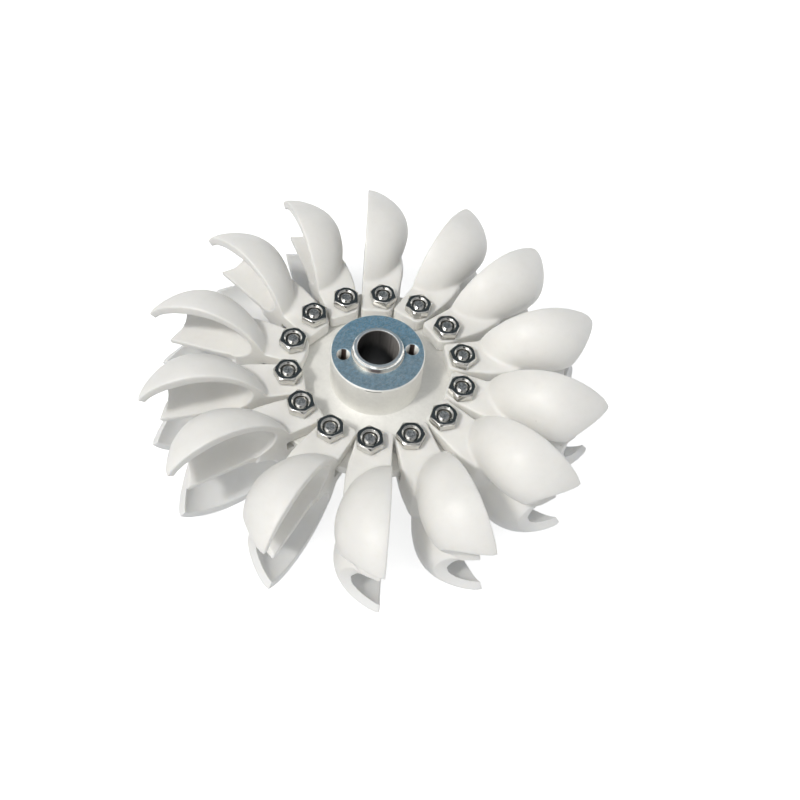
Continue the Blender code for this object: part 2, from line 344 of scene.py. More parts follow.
def apply(made, kind, **settings):
    """Adds a modifier and applies it."""
    alone(made)
    added = made.modifiers.new(kind.lower(), kind)
    for key, value in settings.items():
        setattr(added, key, value)
    bpy.ops.object.modifier_apply(modifier=added.name)


def combine(made, operation, *tools):
    """Joins, cuts or intersects a piece with closed tools, which are then thrown away."""
    for tool in tools:
        apply(made, "BOOLEAN", operation=operation, solver="MANIFOLD", object=tool)
        bpy.data.objects.remove(tool)
    if not made.data.polygons:
        raise RuntimeError(f"{made.name} has no faces left after {operation}")


def merged(tools):
    """One object out of several separate tools."""
    bpy.ops.object.select_all(action="DESELECT")
    for tool in tools:
        tool.select_set(True)
    bpy.context.view_layer.objects.active = tools[0]
    bpy.ops.object.join()
    return tools[0]


def smoothed(made, angle):
    """Shades a piece smooth, and its edges over an angle in degrees sharp."""
    alone(made)
    bpy.ops.object.shade_smooth_by_angle(angle=radians(angle))


def copied(made, name):
    """A copy with its own mesh."""
    alone(made)
    bpy.ops.object.duplicate(linked=False)
    twin = bpy.context.object
    twin.name = name
    twin.data.name = name
    return twin


def finish_piece(piece, node, material):
    """Gives a piece its material and its body, and hides the solid it stands for."""
    piece.data.materials.clear()
    piece.data.materials.append(material)
    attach(piece, "root")
    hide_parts(node)


def azimuth_of(number):
    """The azimuth of a bucket's bolt. Buckets are numbered from 0 here."""
    return FIRST_AZIMUTH + number * PITCH


def around(azimuth, radius):
    """The x and y of a place on a circle about the wheel's axis."""
    return radius * MM * cos(azimuth), radius * MM * sin(azimuth)


def set_round(made, kind, node, material, turns):
    """Sets a copy of a piece at each bolt, turned by its own angle, and throws the first one away."""
    for number, turn in enumerate(turns):
        piece = copied(made, f"{kind}_{number + 1:02d}")
        place(piece, turn, *around(azimuth_of(number), BOLT_CIRCLE))
        finish_piece(piece, f"{node}_{number + 1:02d}", material)
    bpy.data.objects.remove(made)


def thread_rings(start, end, pitch, groove, ridge):
    """Radius and height pairs of a ringed thread, to a groove and back to a ridge at each turn."""
    pairs = []
    height = start
    while height < end:
        pairs += [(groove, height + pitch / 2), (ridge, height + pitch)]
        height += pitch
    return pairs


# The bucket

def swell(along, power, root):
    """1 at the middle of a curved outline and 0 at its end."""
    return max(0.0, 1 - along ** power) ** root


def cup_curve(form, key, along, tip_side):
    """One of a cup's outlines, part of the way from its middle to its stem's or its tip's end."""
    middle, stem_end, tip_end = form[key]
    pole, power, root = tip_end if tip_side else stem_end
    return pole + (middle - pole) * swell(along, power, root)


def cup(name, form, upper):
    """A cup's outer or inner surface, drawn ring by ring from the stem to the tip."""
    sections = []
    for i in range(CUP_RINGS + 1):
        angle = CUP_END * (2 * i / CUP_RINGS - 1)
        tip_side = angle > 0
        along = abs(sin(angle))
        far = cup_curve(form, "far", along, tip_side)
        near = cup_curve(form, "near", along, tip_side)
        depth = cup_curve(form, "depth", along, tip_side)
        reach = form["tip_reach"] if tip_side else -form["stem_reach"]
        across = (far + near) / 2 if upper else -(far + near) / 2
        centre = (form["middle"] + along * reach, RIM, across)
        sections.append((centre, (1, max(depth, TINY), max((far - near) / 2, TINY))))
    return drawn(name, "X", sections, CUP_SIDES)


def back_of_stem(x):
    """The stem's back edge, between its measured points."""
    for (x0, y0), (x1, y1) in zip(FORK_BACK, FORK_BACK[1:]):
        if x <= x1:
            return y0 + (y1 - y0) * (x - x0) / (x1 - x0)
    return FORK_BACK[-1][1]


def stem():
    """The forked stem, its inner end rounded, as a square ring drawn outwards."""
    sections = []
    for i in range(CORNER_STEPS + 1):
        turn = radians(90) * i / CORNER_STEPS
        x = FORK_END + FORK_CORNER * (1 - cos(turn))
        drop = FORK_CORNER * (1 - sin(turn))
        sections.append((x, RIM - drop, back_of_stem(x) + drop))
    start = FORK_END + FORK_CORNER
    sections.append((start + 0.05, RIM + OVER_RIM, back_of_stem(start)))
    sections += [(x, RIM + OVER_RIM, back_of_stem(x)) for x in STEM_STATIONS]
    rings = []
    for x, front, back in sections:
        rings.append(((x, (front + back) / 2, 0), (1, (front - back) / 2 * sqrt(2), FORK_HALF * sqrt(2))))
    return drawn("stem", "X", rings, 4, turn=pi / 4)


def notch_tool():
    """The cutter for the notch: a leaning ellipse with the splitter's nose taken out of it."""
    def leaning(name, centre, half_x, half_z, sides):
        """A bar along Y that leans outwards, and is at its centre where it meets the rims."""
        sections = []
        for y in (-FAR / 2, FAR / 2):
            sections.append(((centre + NOTCH_LEAN * (y - RIM), y, 0), (half_x, 1, half_z)))
        return drawn(name, "Y", sections, sides)
    tool = leaning("notch", NOTCH_CENTRE, NOTCH_DEPTH, NOTCH_HALF_WIDTH, 96)
    nose = leaning("nose", NOTCH_CENTRE - NOTCH_DEPTH, NOSE, NOSE_HALF, 4)
    combine(tool, "DIFFERENCE", nose)
    return tool


def within(box, point):
    """Whether a vertex lies inside a box."""
    return all(low * MM <= part <= high * MM for low, part, high in zip(box[0], point, box[1]))


def on_a_lip(point):
    """Whether a vertex lies on a cup's lip, and not on the ridge between the cups."""
    return within(LIPS, point) and abs(point.z) > LIPS_FROM_MIDDLE * MM


def soften(made, repeat, picks=lambda point: True):
    """Smooths the vertices that a test picks, as with the smooth brush over a join."""
    alone(made)
    bpy.ops.object.mode_set(mode="EDIT")
    bpy.ops.mesh.select_mode(type="VERT")
    bpy.ops.mesh.select_all(action="DESELECT")
    bpy.ops.object.mode_set(mode="OBJECT")
    for vert in made.data.vertices:
        vert.select = picks(vert.co)
    bpy.ops.object.mode_set(mode="EDIT")
    bpy.ops.mesh.vertices_smooth(factor=0.5, repeat=repeat)
    bpy.ops.object.mode_set(mode="OBJECT")


def model_bucket(sizes):
    """One bucket in its own frame: twin cups, splitter, notch and forked stem."""
    made = stem()
    made.name = "bucket"
    combine(made, "UNION", cup("upper_outside", OUTSIDE, True), cup("lower_outside", OUTSIDE, False))
    apply(made, "REMESH", mode="VOXEL", voxel_size=ROUGH_GRID * MM)
    soften(made, 2)
    soften(made, 9, lambda point: within(JOIN, point))
    combine(made, "DIFFERENCE", block("above_rims", (-FAR, RIM, -FAR), (FAR, FAR, FAR)))
    combine(made, "DIFFERENCE", cup("upper_inside", INSIDE, True), cup("lower_inside", INSIDE, False))
    ridge_from = INSIDE["middle"] - INSIDE["stem_reach"] * RIDGE_START
    combine(made, "DIFFERENCE", block("above_ridge", (ridge_from, RIM - RIDGE_DROP, -RIDGE_HALF),
                                      (FAR, FAR, RIDGE_HALF)))
    combine(made, "DIFFERENCE", notch_tool())
    slot = DISC_HALF + DISC_GAP
    combine(made, "DIFFERENCE", block("disc_slot", (-FAR, -FAR, -slot), (SLOT_END, FAR, slot)))
    combine(made, "DIFFERENCE", lathed("bolt_hole", [(BOLT_HOLE, -FAR), (BOLT_HOLE, FAR)], ROUND_SIDES))
    apply(made, "REMESH", mode="VOXEL", voxel_size=sizes.fine)
    soften(made, 2)
    soften(made, 6, on_a_lip)
    triangles = 2 * len(made.data.polygons)
    apply(made, "DECIMATE", ratio=min(1.0, sizes.faces / triangles))
    smoothed(made, 50)
    return made


# The hub

def hub_profile(sizes):
    """Radius and height pairs: up the bore, out over the top, down the outside and back below."""
    bore, collar, boss, disc = (r / MM for r in (sizes.bore, sizes.collar, sizes.boss, sizes.disc))
    upper = [
        (bore, COLLAR_TOP - 0.4),
        (bore + 0.4, COLLAR_TOP),
        (collar - 0.8, COLLAR_TOP),
        (collar - 0.15, COLLAR_TOP - 0.6),
        (collar, COLLAR_TOP - 0.95),
        (collar, BOSS_TOP + 0.15),
        (collar + 0.15, BOSS_TOP),
        (boss - 0.5, BOSS_TOP),
        (boss - 0.1, BOSS_TOP - 0.35),
        (boss, BOSS_TOP - 0.6),
        (boss, DISC_HALF + 0.4),
        (boss + 0.12, DISC_HALF + 0.12),
        (boss + 0.4, DISC_HALF),
        (disc - 0.4, DISC_HALF),
        (disc, DISC_HALF - 0.4),
    ]
    lower = [(r, -z) for r, z in reversed(upper)]
    return [lower[-1]] + upper + lower


def tapped_hole(sizes, side, azimuth):
    """The cutter for one tapped hole, drawn down into the boss: a countersink over a ringed thread."""
    radius = sizes.puller / MM
    ridge = radius - PULLER_THREAD
    profile = [(radius + 0.55, -0.3), (radius + 0.25, 0), (radius - 0.2, 0.45)]
    profile += thread_rings(0.45, PULLER_DEPTH, PULLER_PITCH, radius, ridge)
    profile += [(ridge, PULLER_DEPTH), (TINY, PULLER_DEPTH + 1.2)]
    made = lathed("tapped_hole", [(r, side * (BOSS_TOP - depth)) for r, depth in profile], 32)
    place(made, 0.0, *around(azimuth, PULLER_CIRCLE))
    return made


def model_hub(sizes):
    """The turned hub: its section swept round, then drilled for the bolts and tapped for a puller."""
    made = lathed("hub_metal", hub_profile(sizes), HUB_SIDES, looped=True)
    holes = []
    for number in range(BUCKETS):
        hole = lathed("disc_hole", [(BOLT_HOLE, -5), (BOLT_HOLE, 5)], 24)
        place(hole, 0.0, *around(azimuth_of(number), BOLT_CIRCLE))
        holes.append(hole)
    combine(made, "DIFFERENCE", merged(holes))
    for side in (1, -1):
        for azimuth in (PULLER_AZIMUTH, PULLER_AZIMUTH + pi):
            combine(made, "DIFFERENCE", tapped_hole(sizes, side, azimuth))
    smoothed(made, 28)
    return made


# Nuts and bolts

def hexagon(name, sizes, low, high, both_ends):
    """A hexagonal bar whose corners are turned off at its top, or at both ends."""
    half = sizes.nut / MM / 2
    corner = half / cos(pi / 6)
    made = drawn(name, "Z", [((0, 0, low), (corner, corner, 1)), ((0, 0, high), (corner, corner, 1))], 6)
    alone(made)
    bpy.ops.object.mode_set(mode="EDIT")
    bpy.ops.mesh.select_mode(type="FACE")
    bpy.ops.mesh.select_all(action="DESELECT")
    bpy.ops.object.mode_set(mode="OBJECT")
    for face in made.data.polygons:
        face.select = face.normal.z > 0.9 or (both_ends and face.normal.z < -0.9)
    bpy.ops.object.mode_set(mode="EDIT")
    bpy.ops.mesh.region_to_loop()
    bpy.ops.mesh.bevel(offset=EDGE_ROUNDING * MM, segments=5)
    bpy.ops.object.mode_set(mode="OBJECT")
    upper = [(half + past, high - drop) for past, drop in CORNERS_TURNED_OFF]
    lower = [(half + CORNERS_TURNED_OFF[0][0], low)]
    if both_ends:
        lower = [(half + past, low + drop) for past, drop in reversed(CORNERS_TURNED_OFF)]
    combine(made, "INTERSECT", lathed("chamfer", lower + upper, 2 * ROUND_SIDES))
    return made


def model_nut(sizes):
    """A chamfered nut with a countersunk thread, standing at its height over the middle plane."""
    made = hexagon("nut", sizes, NUT_BOTTOM, NUT_TOP, True)
    ridge, groove = NUT_THREAD
    start = NUT_BOTTOM + 0.7
    profile = [(3.75, NUT_BOTTOM - 0.15), (3.6, NUT_BOTTOM), (ridge, start)]
    profile += thread_rings(start, NUT_TOP - 1.2, NUT_PITCH, groove, ridge)
    profile += [(ridge, NUT_TOP - 0.75), (2.95, NUT_TOP - 0.46)]
    profile += [(3.55, NUT_TOP - 0.05), (3.65, NUT_TOP + 0.2)]
    combine(made, "DIFFERENCE", lathed("nut_thread", profile, ROUND_SIDES))
    apply(made, "BEVEL", width=NUT_EDGE * MM, segments=2, limit_method="ANGLE", angle_limit=radians(28))
    smoothed(made, 40)
    return made


def model_bolt(sizes):
    """A bolt pushed up from below: chamfered head, shank, and a threaded end inside the nut."""
    made = hexagon("bolt", sizes, -HEAD_TOP, -HEAD_BOTTOM, False)
    alone(made)
    made.rotation_euler = (pi, 0, 0)
    bpy.ops.object.transform_apply(location=False, rotation=True, scale=False)
    groove, ridge = BOLT_THREAD
    start = NUT_BOTTOM - 0.6
    end = sizes.bolt / MM
    profile = [(SHANK, HEAD_TOP - 1), (SHANK, NUT_BOTTOM - 1), (ridge, start)]
    profile += thread_rings(start, BOLT_END - 1.2, BOLT_PITCH, groove, ridge)
    profile += [(ridge + 0.02, BOLT_END - BOLT_CHAMFER), (end + 0.08, BOLT_END - 0.06), (end, BOLT_END)]
    combine(made, "UNION", lathed("bolt_shank", profile, ROUND_SIDES))
    smoothed(made, 35)
    return made


# Materials

class Value:
    """A shader socket that plain arithmetic works on."""

    def __init__(self, finish, socket):
        self.finish = finish
        self.socket = socket

    def __add__(self, other):
        return self.finish.maths("ADD", self, other)

    def __radd__(self, other):
        return self.finish.maths("ADD", other, self)

    def __sub__(self, other):
        return self.finish.maths("SUBTRACT", self, other)

    def __rsub__(self, other):
        return self.finish.maths("SUBTRACT", other, self)

    def __mul__(self, other):
        return self.finish.maths("MULTIPLY", self, other)

    def __rmul__(self, other):
        return self.finish.maths("MULTIPLY", other, self)

    def __truediv__(self, other):
        return self.finish.maths("DIVIDE", self, other)

    def __rtruediv__(self, other):
        return self.finish.maths("DIVIDE", other, self)

    def __pow__(self, other):
        return self.finish.maths("POWER", self, other)

    def __rpow__(self, other):
        return self.finish.maths("POWER", other, self)

    def __abs__(self):
        return self.finish.maths("ABSOLUTE", self)


class Finish:
    """A node tree that is built from expressions."""

    def __init__(self, owner):
        owner.use_nodes = True
        self.owner = owner
        self.tree = owner.node_tree

    def node(self, kind, settings=None, sockets=None, output=0):
        """Any node: its settings first, then the values or links of its sockets."""
        made = self.tree.nodes.new(kind)
        for key, value in (settings or {}).items():
            setattr(made, key, value)
        for key, value in (sockets or {}).items():
            self.feed(made.inputs[key], value)
        return Value(self, made.outputs[output])

    def feed(self, socket, value):
        """Links a value to a socket, or sets it there when it is plain."""
        if isinstance(value, Value):
            self.tree.links.new(value.socket, socket)
        else:
            socket.default_value = value

    def output(self, value, name):
        """Another output of the node that a value comes from."""
        return Value(self, value.socket.node.outputs[name])

    def maths(self, operation, *values):
        """A number worked out by a Math node."""
        return self.node("ShaderNodeMath", {"operation": operation}, dict(enumerate(values)))

    def spot(self):
        """The point on the object, in metres."""
        return self.node("ShaderNodeTexCoord", output="Object")

    def parts(self, vector):
        """The three coordinates of a vector."""
        split = self.node("ShaderNodeSeparateXYZ", None, {0: vector})
        return [self.output(split, i) for i in range(3)]

    def vector(self, *parts):
        """A vector of two or three coordinates."""
        return self.node("ShaderNodeCombineXYZ", None, dict(enumerate(parts)))

    def along(self, vector, way):
        """How far a vector reaches along a direction."""
        return self.node("ShaderNodeVectorMath", {"operation": "DOT_PRODUCT"}, {0: vector, 1: way}, "Value")

    def noise(self, vector, scale, detail, roughness):
        """An even pattern of patches, from 0 to 1."""
        return self.node("ShaderNodeTexNoise", None, {"Vector": vector, "Scale": scale, "Detail": detail,
                                                      "Roughness": roughness}, "Fac")

    def span(self, value, low, high, start=0.0, end=1.0, smooth=False):
        """Maps a value from one range to another, and stops at its ends."""
        kind = "SMOOTHSTEP" if smooth else "LINEAR"
        return self.node("ShaderNodeMapRange", {"interpolation_type": kind},
                         {"Value": value, "From Min": low, "From Max": high, "To Min": start, "To Max": end})

    def window(self, value, rise, fall):
        """1 between a rising and a falling edge. Each edge is a pair: where it starts and where it ends."""
        return self.span(value, *rise) * self.span(value, *fall)

    def blend(self, factor, first, second, kind="MIX"):
        """Mixes two colours."""
        settings = {"data_type": "RGBA", "blend_type": kind}
        return self.node("ShaderNodeMix", settings, {0: factor, 6: first, 7: second}, 2)

    def bump(self, height, distance, strength):
        """Tilts the surface as a low relief would. The distance is in metres."""
        sockets = {"Height": height, "Distance": distance, "Strength": strength}
        return self.node("ShaderNodeBump", None, sockets, "Normal")

    def surface(self, **sockets):
        """Feeds the principled shader, each socket named with underscores for its spaces."""
        shader = self.tree.nodes["Principled BSDF"]
        for key, value in sockets.items():
            self.feed(shader.inputs[key.replace("_", " ").title()], value)


def rgba(colour, factor=1.0):
    """A colour for a socket, made lighter or darker by a factor."""
    return (*[channel * factor for channel in colour], 1.0)


def new_finish(name):
    """A material to be built from expressions."""
    return Finish(bpy.data.materials.new(name))


def specks(paint, spot):
    """1 in the middle of a few cells of a Voronoi pattern, and 0 elsewhere."""
    sockets = {"Vector": spot, "Scale": SPECK_CELLS}
    cells = paint.node("ShaderNodeTexVoronoi", {"feature": "F1"}, sockets, "Distance")
    chance = paint.parts(paint.output(cells, "Color"))[0]
    return paint.span(cells, 0.03, 0.06, 1.0, 0.0) * paint.maths("GREATER_THAN", chance, SPECKLESS)


def nylon_material(colours):
    """White moulded nylon that lets a little light through: cloudy, with cooler painted shade low down,
    faintly dimpled.
    """
    paint = new_finish("moulded_nylon")
    spot = paint.spot()
    x, y, z = paint.parts(spot)
    clouds = paint.noise(spot, 70, 3, 0.55)
    patches = paint.noise(spot, 420, 3, 0.6)
    base = paint.blend(paint.span(clouds, 0.35, 0.65), rgba(colours.nylon, 0.975), rgba(colours.nylon, 1.02))
    base = paint.blend(paint.span(patches, 0.52, 0.75, 0.0, 0.12), base, rgba(CLOUDY_NYLON))
    # Painted shade: cooler and darker below the middle plane, towards the floor
    base = paint.blend(paint.span(z, 0.0, -0.022, 0.0, 0.6), base, rgba(NYLON_PAINTED_LOW_SHADE))
    # Warmer towards the wheel's middle, fading out between 42 and 78 mm from the axis
    warmed = paint.blend(0.25, base, rgba(WARM_NYLON), "MULTIPLY")
    outward = paint.span((x * x + y * y) ** 0.5, 0.042, 0.078)
    base = paint.blend(outward, warmed, base)
    base = paint.blend(specks(paint, spot) * 0.6, base, rgba(SPECK))
    peel = paint.noise(spot, 900, 2, 0.5)
    ripple = paint.noise(spot, 160, 2, 0.5)
    paint.surface(base_color=base, roughness=paint.span(patches, 0.3, 0.7, 0.38, 0.5),
                  subsurface_weight=0.22, subsurface_radius=(1.0, 0.88, 0.7), subsurface_scale=0.003,
                  normal=paint.bump(peel * 0.4 + ripple, 0.00012, 0.6))
    return paint.owner


class HubPlaces:
    """Where a point of the hub lies, in millimetres, and masks that are 1 on one part of it."""

    def __init__(self, paint, sizes):
        self.spot = paint.spot()
        self.x, self.y, self.z = [part / MM for part in paint.parts(self.spot)]
        self.radius = (self.x * self.x + self.y * self.y) ** 0.5
        self.height = abs(self.z)
        self.bore, self.collar, self.boss = [r / MM for r in (sizes.bore, sizes.collar, sizes.boss)]
        angle = paint.maths("ARCTAN2", self.y, self.x)
        self.streaks = paint.noise(paint.vector(angle * 5, self.z * 0.03), 1.6, 3, 0.6)
        self.grains = paint.noise(self.spot, 1500, 3, 0.6)
        self.blotches = paint.noise(self.spot, 620, 5, 0.7)
        self.in_bore = paint.span(self.radius, self.bore + 0.3, self.bore + 0.1)
        self.on_disc = paint.span(self.height, 4.0, 2.8)
        self.on_face = paint.window(self.height, (BOSS_TOP - 0.25, BOSS_TOP - 0.1),
                                    (BOSS_TOP + 0.3, BOSS_TOP + 0.1))
        self.on_face = self.on_face * paint.window(self.radius, (self.collar + 0.1, self.collar + 0.4),
                                                   (self.boss - 0.4, self.boss - 0.6))
        self.on_collar = paint.span(self.radius, self.collar + 0.4, self.collar + 0.2) * (1 - self.in_bore)
        self.on_collar = self.on_collar * paint.span(self.height, BOSS_TOP - 0.1, BOSS_TOP)
        self.collar_top = paint.span(self.height, COLLAR_TOP - 0.12, COLLAR_TOP - 0.04) * (1 - self.in_bore)
        self.collar_side = paint.window(self.radius, (self.collar - 0.4, self.collar - 0.2),
                                        (self.collar + 0.3, self.collar + 0.1))
        self.collar_side = self.collar_side * paint.window(self.height, (BOSS_TOP - 0.1, BOSS_TOP + 0.2),
                                                           (COLLAR_TOP - 0.9, COLLAR_TOP - 1.1))


def faced_colour(paint, at, colours):
    """The boss's faced ends: bluish, deeper towards the rear, grained and scratched."""
    deeper = paint.span(at.blotches, 0.38, 0.6)
    colour = paint.blend(deeper, rgba(colours.faced, 1.13), rgba(colours.faced, 0.78))
    colour = paint.blend(paint.span(at.y, -4, 12, 0.0, 0.6), colour, rgba(FACE_TINT), "MULTIPLY")
    colour = paint.blend(paint.span(at.grains, 0.48, 0.66, 0.0, 0.45), colour, rgba(FACE_GRAIN))
    lengthwise, across = at.x * 0.64 + at.y * 0.77, at.x * 0.77 - at.y * 0.64
    scratches = paint.noise(paint.vector(lengthwise * 0.26, across * 5.2), 1.0, 2, 0.5)
    flecks = paint.noise(at.spot, 2600, 2, 0.5)
    light = paint.span(flecks, 0.56, 0.68, 0.0, 0.55) + paint.span(scratches, 0.60, 0.68, 0.0, 0.6)
    return paint.blend(paint.span(light, 0.0, 1.0), colour, rgba(FACE_SCRATCH))


def bore_colour(paint, at):
    """The bore, painted dark with streaked shade: painted light at the right near its top, and painted black
    shade further down.
    """
    # Painted shade: the bore's wall is dark and streaked, as the deep hole lies in shade
    colour = paint.blend(paint.span(at.streaks, 0.35, 0.65), rgba(BORE_SHADE_PALER), rgba(BORE_SHADE_DEEPER))
    # Painted light: paler at the right near the top, where the key lamp reaches into the bore
    painted_light = paint.span(at.x / at.radius, 0.15, 0.95) * paint.span(at.streaks, 0.35, 0.6, 0.35, 1.0)
    colour = paint.blend(painted_light * paint.span(at.z, -4, 16), colour, rgba(BORE_PAINTED_LIGHT))
    # Painted shade: black further down the bore
    return paint.blend(paint.span(at.z + at.x * 0.5 + at.streaks * 4, 16.5, 12.5), colour, rgba(BORE_PAINTED_BLACK_SHADE))


def collar_colours(paint, at, base):
    """The collar's side painted with reflections, dark at the front middle and cream at the sides, its
    greyish top, and a painted cream glow from the side on the face.
    """
    # Painted reflection on the collar's side: dark at the front middle, cream at the sides
    sideways = abs(at.x + 0.5) + at.streaks * 3
    painted_reflection = paint.blend(paint.span(sideways, 3.0, 5.5), rgba(COLLAR_PAINTED_DARK_REFLECTION), rgba(COLLAR_PAINTED_CREAM_REFLECTION))
    base = paint.blend(at.collar_side, base, painted_reflection)
    base = paint.blend(at.collar_top, base, rgba(COLLAR_TOP_GREY))
    # Painted reflection: a cream glow from the collar's side on the boss face, at the front left
    glow = paint.span(at.radius, at.collar + 2.4, at.collar + 0.3) * at.on_face
    glow = glow * paint.span(at.y, -4, -9) * paint.span(at.x, 0, -5)
    return paint.blend(glow * 0.55, base, rgba(COLLAR_GLOW_PAINTED_ON_FACE))


def front_edge_dark_mark(paint, at, base):
    """A short dark mark on the boss's edge."""
    # Darker along a short stretch of the boss's top edge, at the front
    mark = paint.span(abs(at.x + 0.4), 3.6, 2.6) * paint.span(at.y, -17, -18)
    mark = mark * paint.window(at.height, (BOSS_TOP - 0.95, BOSS_TOP - 0.85),
                               (BOSS_TOP - 0.5, BOSS_TOP - 0.62))
    return paint.blend(mark, base, rgba(EDGE_DARK_MARK))


def puller_painted_shade(paint, at, base):
    """Painted dark in the two tapped holes: a dark band across each, a painted reflection of the hole's dark
    depth, and a floor painted dark with shade.
    """
    in_hole = paint.span(at.height, BOSS_TOP - 0.1, BOSS_TOP - 0.3)
    in_hole = in_hole * paint.window(at.radius, (at.bore + 1.0, at.bore + 1.4),
                                     (at.boss - 0.8, at.boss - 1.2))
    for side in (1, -1):
        across = at.x - side * PULLER_CIRCLE * cos(PULLER_AZIMUTH)
        along = at.y - side * PULLER_CIRCLE * sin(PULLER_AZIMUTH)
        this_hole = paint.span((across * across + along * along) ** 0.5, 3.4, 3.0) * in_hole
        # Painted reflection: a dark band across the hole, as its sides mirror its dark depth
        base = paint.blend(this_hole * paint.span(abs(across), 1.2, 0.8), base, rgba(HOLE_PAINTED_DARK_BAND))
        # Painted shade: darker deeper down the hole
        base = paint.blend(this_hole * paint.span(at.height, 16.5, 12.5), base, rgba(HOLE_PAINTED_FLOOR_SHADE))
    return base


def hub_material(colours, sizes):
    """Bright turned metal: bluish faced ends, brushed sides, a bore painted dark with shade, and fine
    turning marks.
    """
    paint = new_finish("turned_hub_metal")
    at = HubPlaces(paint, sizes)
    base = paint.blend(paint.span(at.blotches, 0.35, 0.7), rgba(colours.turned), rgba(colours.turned, 0.93))
    base = paint.blend(at.on_face, base, faced_colour(paint, at, colours))
    base = paint.blend(at.in_bore, base, bore_colour(paint, at))
    base = collar_colours(paint, at, base)
    base = front_edge_dark_mark(paint, at, base)
    base = puller_painted_shade(paint, at, base)
    rough = paint.span(at.grains, 0.3, 0.7, 0.38, 0.48) - at.on_face * 0.06 - at.in_bore * 0.1
    rough = rough - at.on_collar * 0.22 + at.collar_side * 0.2 + at.collar_top * 0.2
    coated = (1 - at.on_face) * (1 - at.on_collar) * (1 - at.in_bore)
    metal = 1 - at.on_disc * 0.4 - coated * 0.4 - at.on_face * 0.35 - at.in_bore
    metal = metal - at.collar_side * 0.7 - at.collar_top * 0.4
    turning = paint.noise(paint.vector(at.radius * 9, at.height * 9), 1.0, 3, 0.6)
    paint.surface(base_color=base, metallic=metal, roughness=rough,
                  normal=paint.bump(turning, 0.00002, 0.35))
    return paint.owner


def steel_material(colours):
    """Polished steel with faint scratches and smudges."""
    paint = new_finish("polished_fastener_steel")
    spot = paint.spot()
    smudge = paint.noise(spot, 500, 3, 0.6)
    scratch = paint.noise(spot, 3000, 2, 0.5)
    base = paint.blend(paint.span(smudge, 0.4, 0.7), rgba(colours.steel), rgba(colours.steel, 0.82))
    paint.surface(base_color=base, metallic=1.0, roughness=paint.span(smudge, 0.3, 0.7, 0.07, 0.16),
                  normal=paint.bump(scratch, 0.000008, 0.5))
    return paint.owner


def bolt_material(colours):
    """Steel like the nuts', but greyer in the thread and duller where the bolt was sawn off."""
    paint = new_finish("bolt_steel")
    spot = paint.spot()
    height = paint.parts(spot)[2] / MM
    smudge = paint.noise(spot, 700, 3, 0.6)
    at_end = paint.span(height, BOLT_END - 0.05, BOLT_END - 0.02)
    thread = paint.window(height, (NUT_BOTTOM - 1, NUT_BOTTOM), (BOLT_END - 0.58, BOLT_END - 0.66))
    saw_marks = paint.span(paint.noise(spot, 1500, 4, 0.7), 0.4, 0.62)
    base = paint.blend(paint.span(smudge, 0.4, 0.7), rgba(colours.steel), rgba(colours.steel, 0.8))
    base = paint.blend(at_end, base, paint.blend(saw_marks, rgba(SAWN_DARK), rgba(SAWN_BRIGHT)))
    base = paint.blend(thread, base, rgba(THREAD_GREY))
    rough = paint.span(smudge, 0.3, 0.7, 0.1, 0.2) + at_end * 0.27
    paint.surface(base_color=base, metallic=1.0, roughness=rough,
                  normal=paint.bump(paint.noise(spot, 2500, 2, 0.5), 0.00001, 0.5))
    return paint.owner


def floor_material(colours):
    """Matt white paper with a faint tooth, which glows a little to stay evenly white."""
    paint = new_finish("studio_paper")
    spot = paint.spot()
    tooth = paint.noise(spot, 900, 2, 0.5)
    tone = paint.blend(paint.noise(spot, 3, 2, 0.5), rgba(colours.floor), rgba(colours.floor, 1.02))
    paint.surface(base_color=tone, roughness=0.9, emission_color=rgba(WHITE), emission_strength=FLOOR_GLOW,
                  normal=paint.bump(tooth, 0.00003, 0.2))
    return paint.owner


# Operators

class PELTON_OT_buckets(bpy.types.Operator):
    """Models one bucket and sets a copy of it at each bolt, swung a little about it."""
    bl_idname = "pelton.buckets"
    bl_label = "Buckets"

    def execute(self, context):
        made = model_bucket(context.scene.pelton_sizes)
        material = nylon_material(context.scene.pelton_colours)
        turns = [azimuth_of(number) + radians(swing) for number, swing in enumerate(SWINGS)]
        set_round(made, "moulded_bucket", "bucket", material, turns)
        return {"FINISHED"}


class PELTON_OT_hub(bpy.types.Operator):
    """Models the turned hub with its tapped holes."""
    bl_idname = "pelton.hub"
    bl_label = "Hub"

    def execute(self, context):
        sizes = context.scene.pelton_sizes
        made = model_hub(sizes)
        finish_piece(made, "hub", hub_material(context.scene.pelton_colours, sizes))
        return {"FINISHED"}


class PELTON_OT_nuts(bpy.types.Operator):
    """Models one nut and sets a copy of it on each bolt, turned as it was tightened."""
    bl_idname = "pelton.nuts"
    bl_label = "Nuts"

    def execute(self, context):
        made = model_nut(context.scene.pelton_sizes)
        material = steel_material(context.scene.pelton_colours)
        turns = [radians(corner - FIRST_CORNER) for corner in NUT_TURNS]
        set_round(made, "polished_nut", "nut", material, turns)
        return {"FINISHED"}


class PELTON_OT_bolts(bpy.types.Operator):
    """Models one bolt and sets a copy of it through each fork."""
    bl_idname = "pelton.bolts"
    bl_label = "Bolts"

    def execute(self, context):
        made = model_bolt(context.scene.pelton_sizes)
        material = bolt_material(context.scene.pelton_colours)
        turns = [azimuth_of(number) for number in range(BUCKETS)]
        set_round(made, "steel_bolt", "bolt", material, turns)
        return {"FINISHED"}


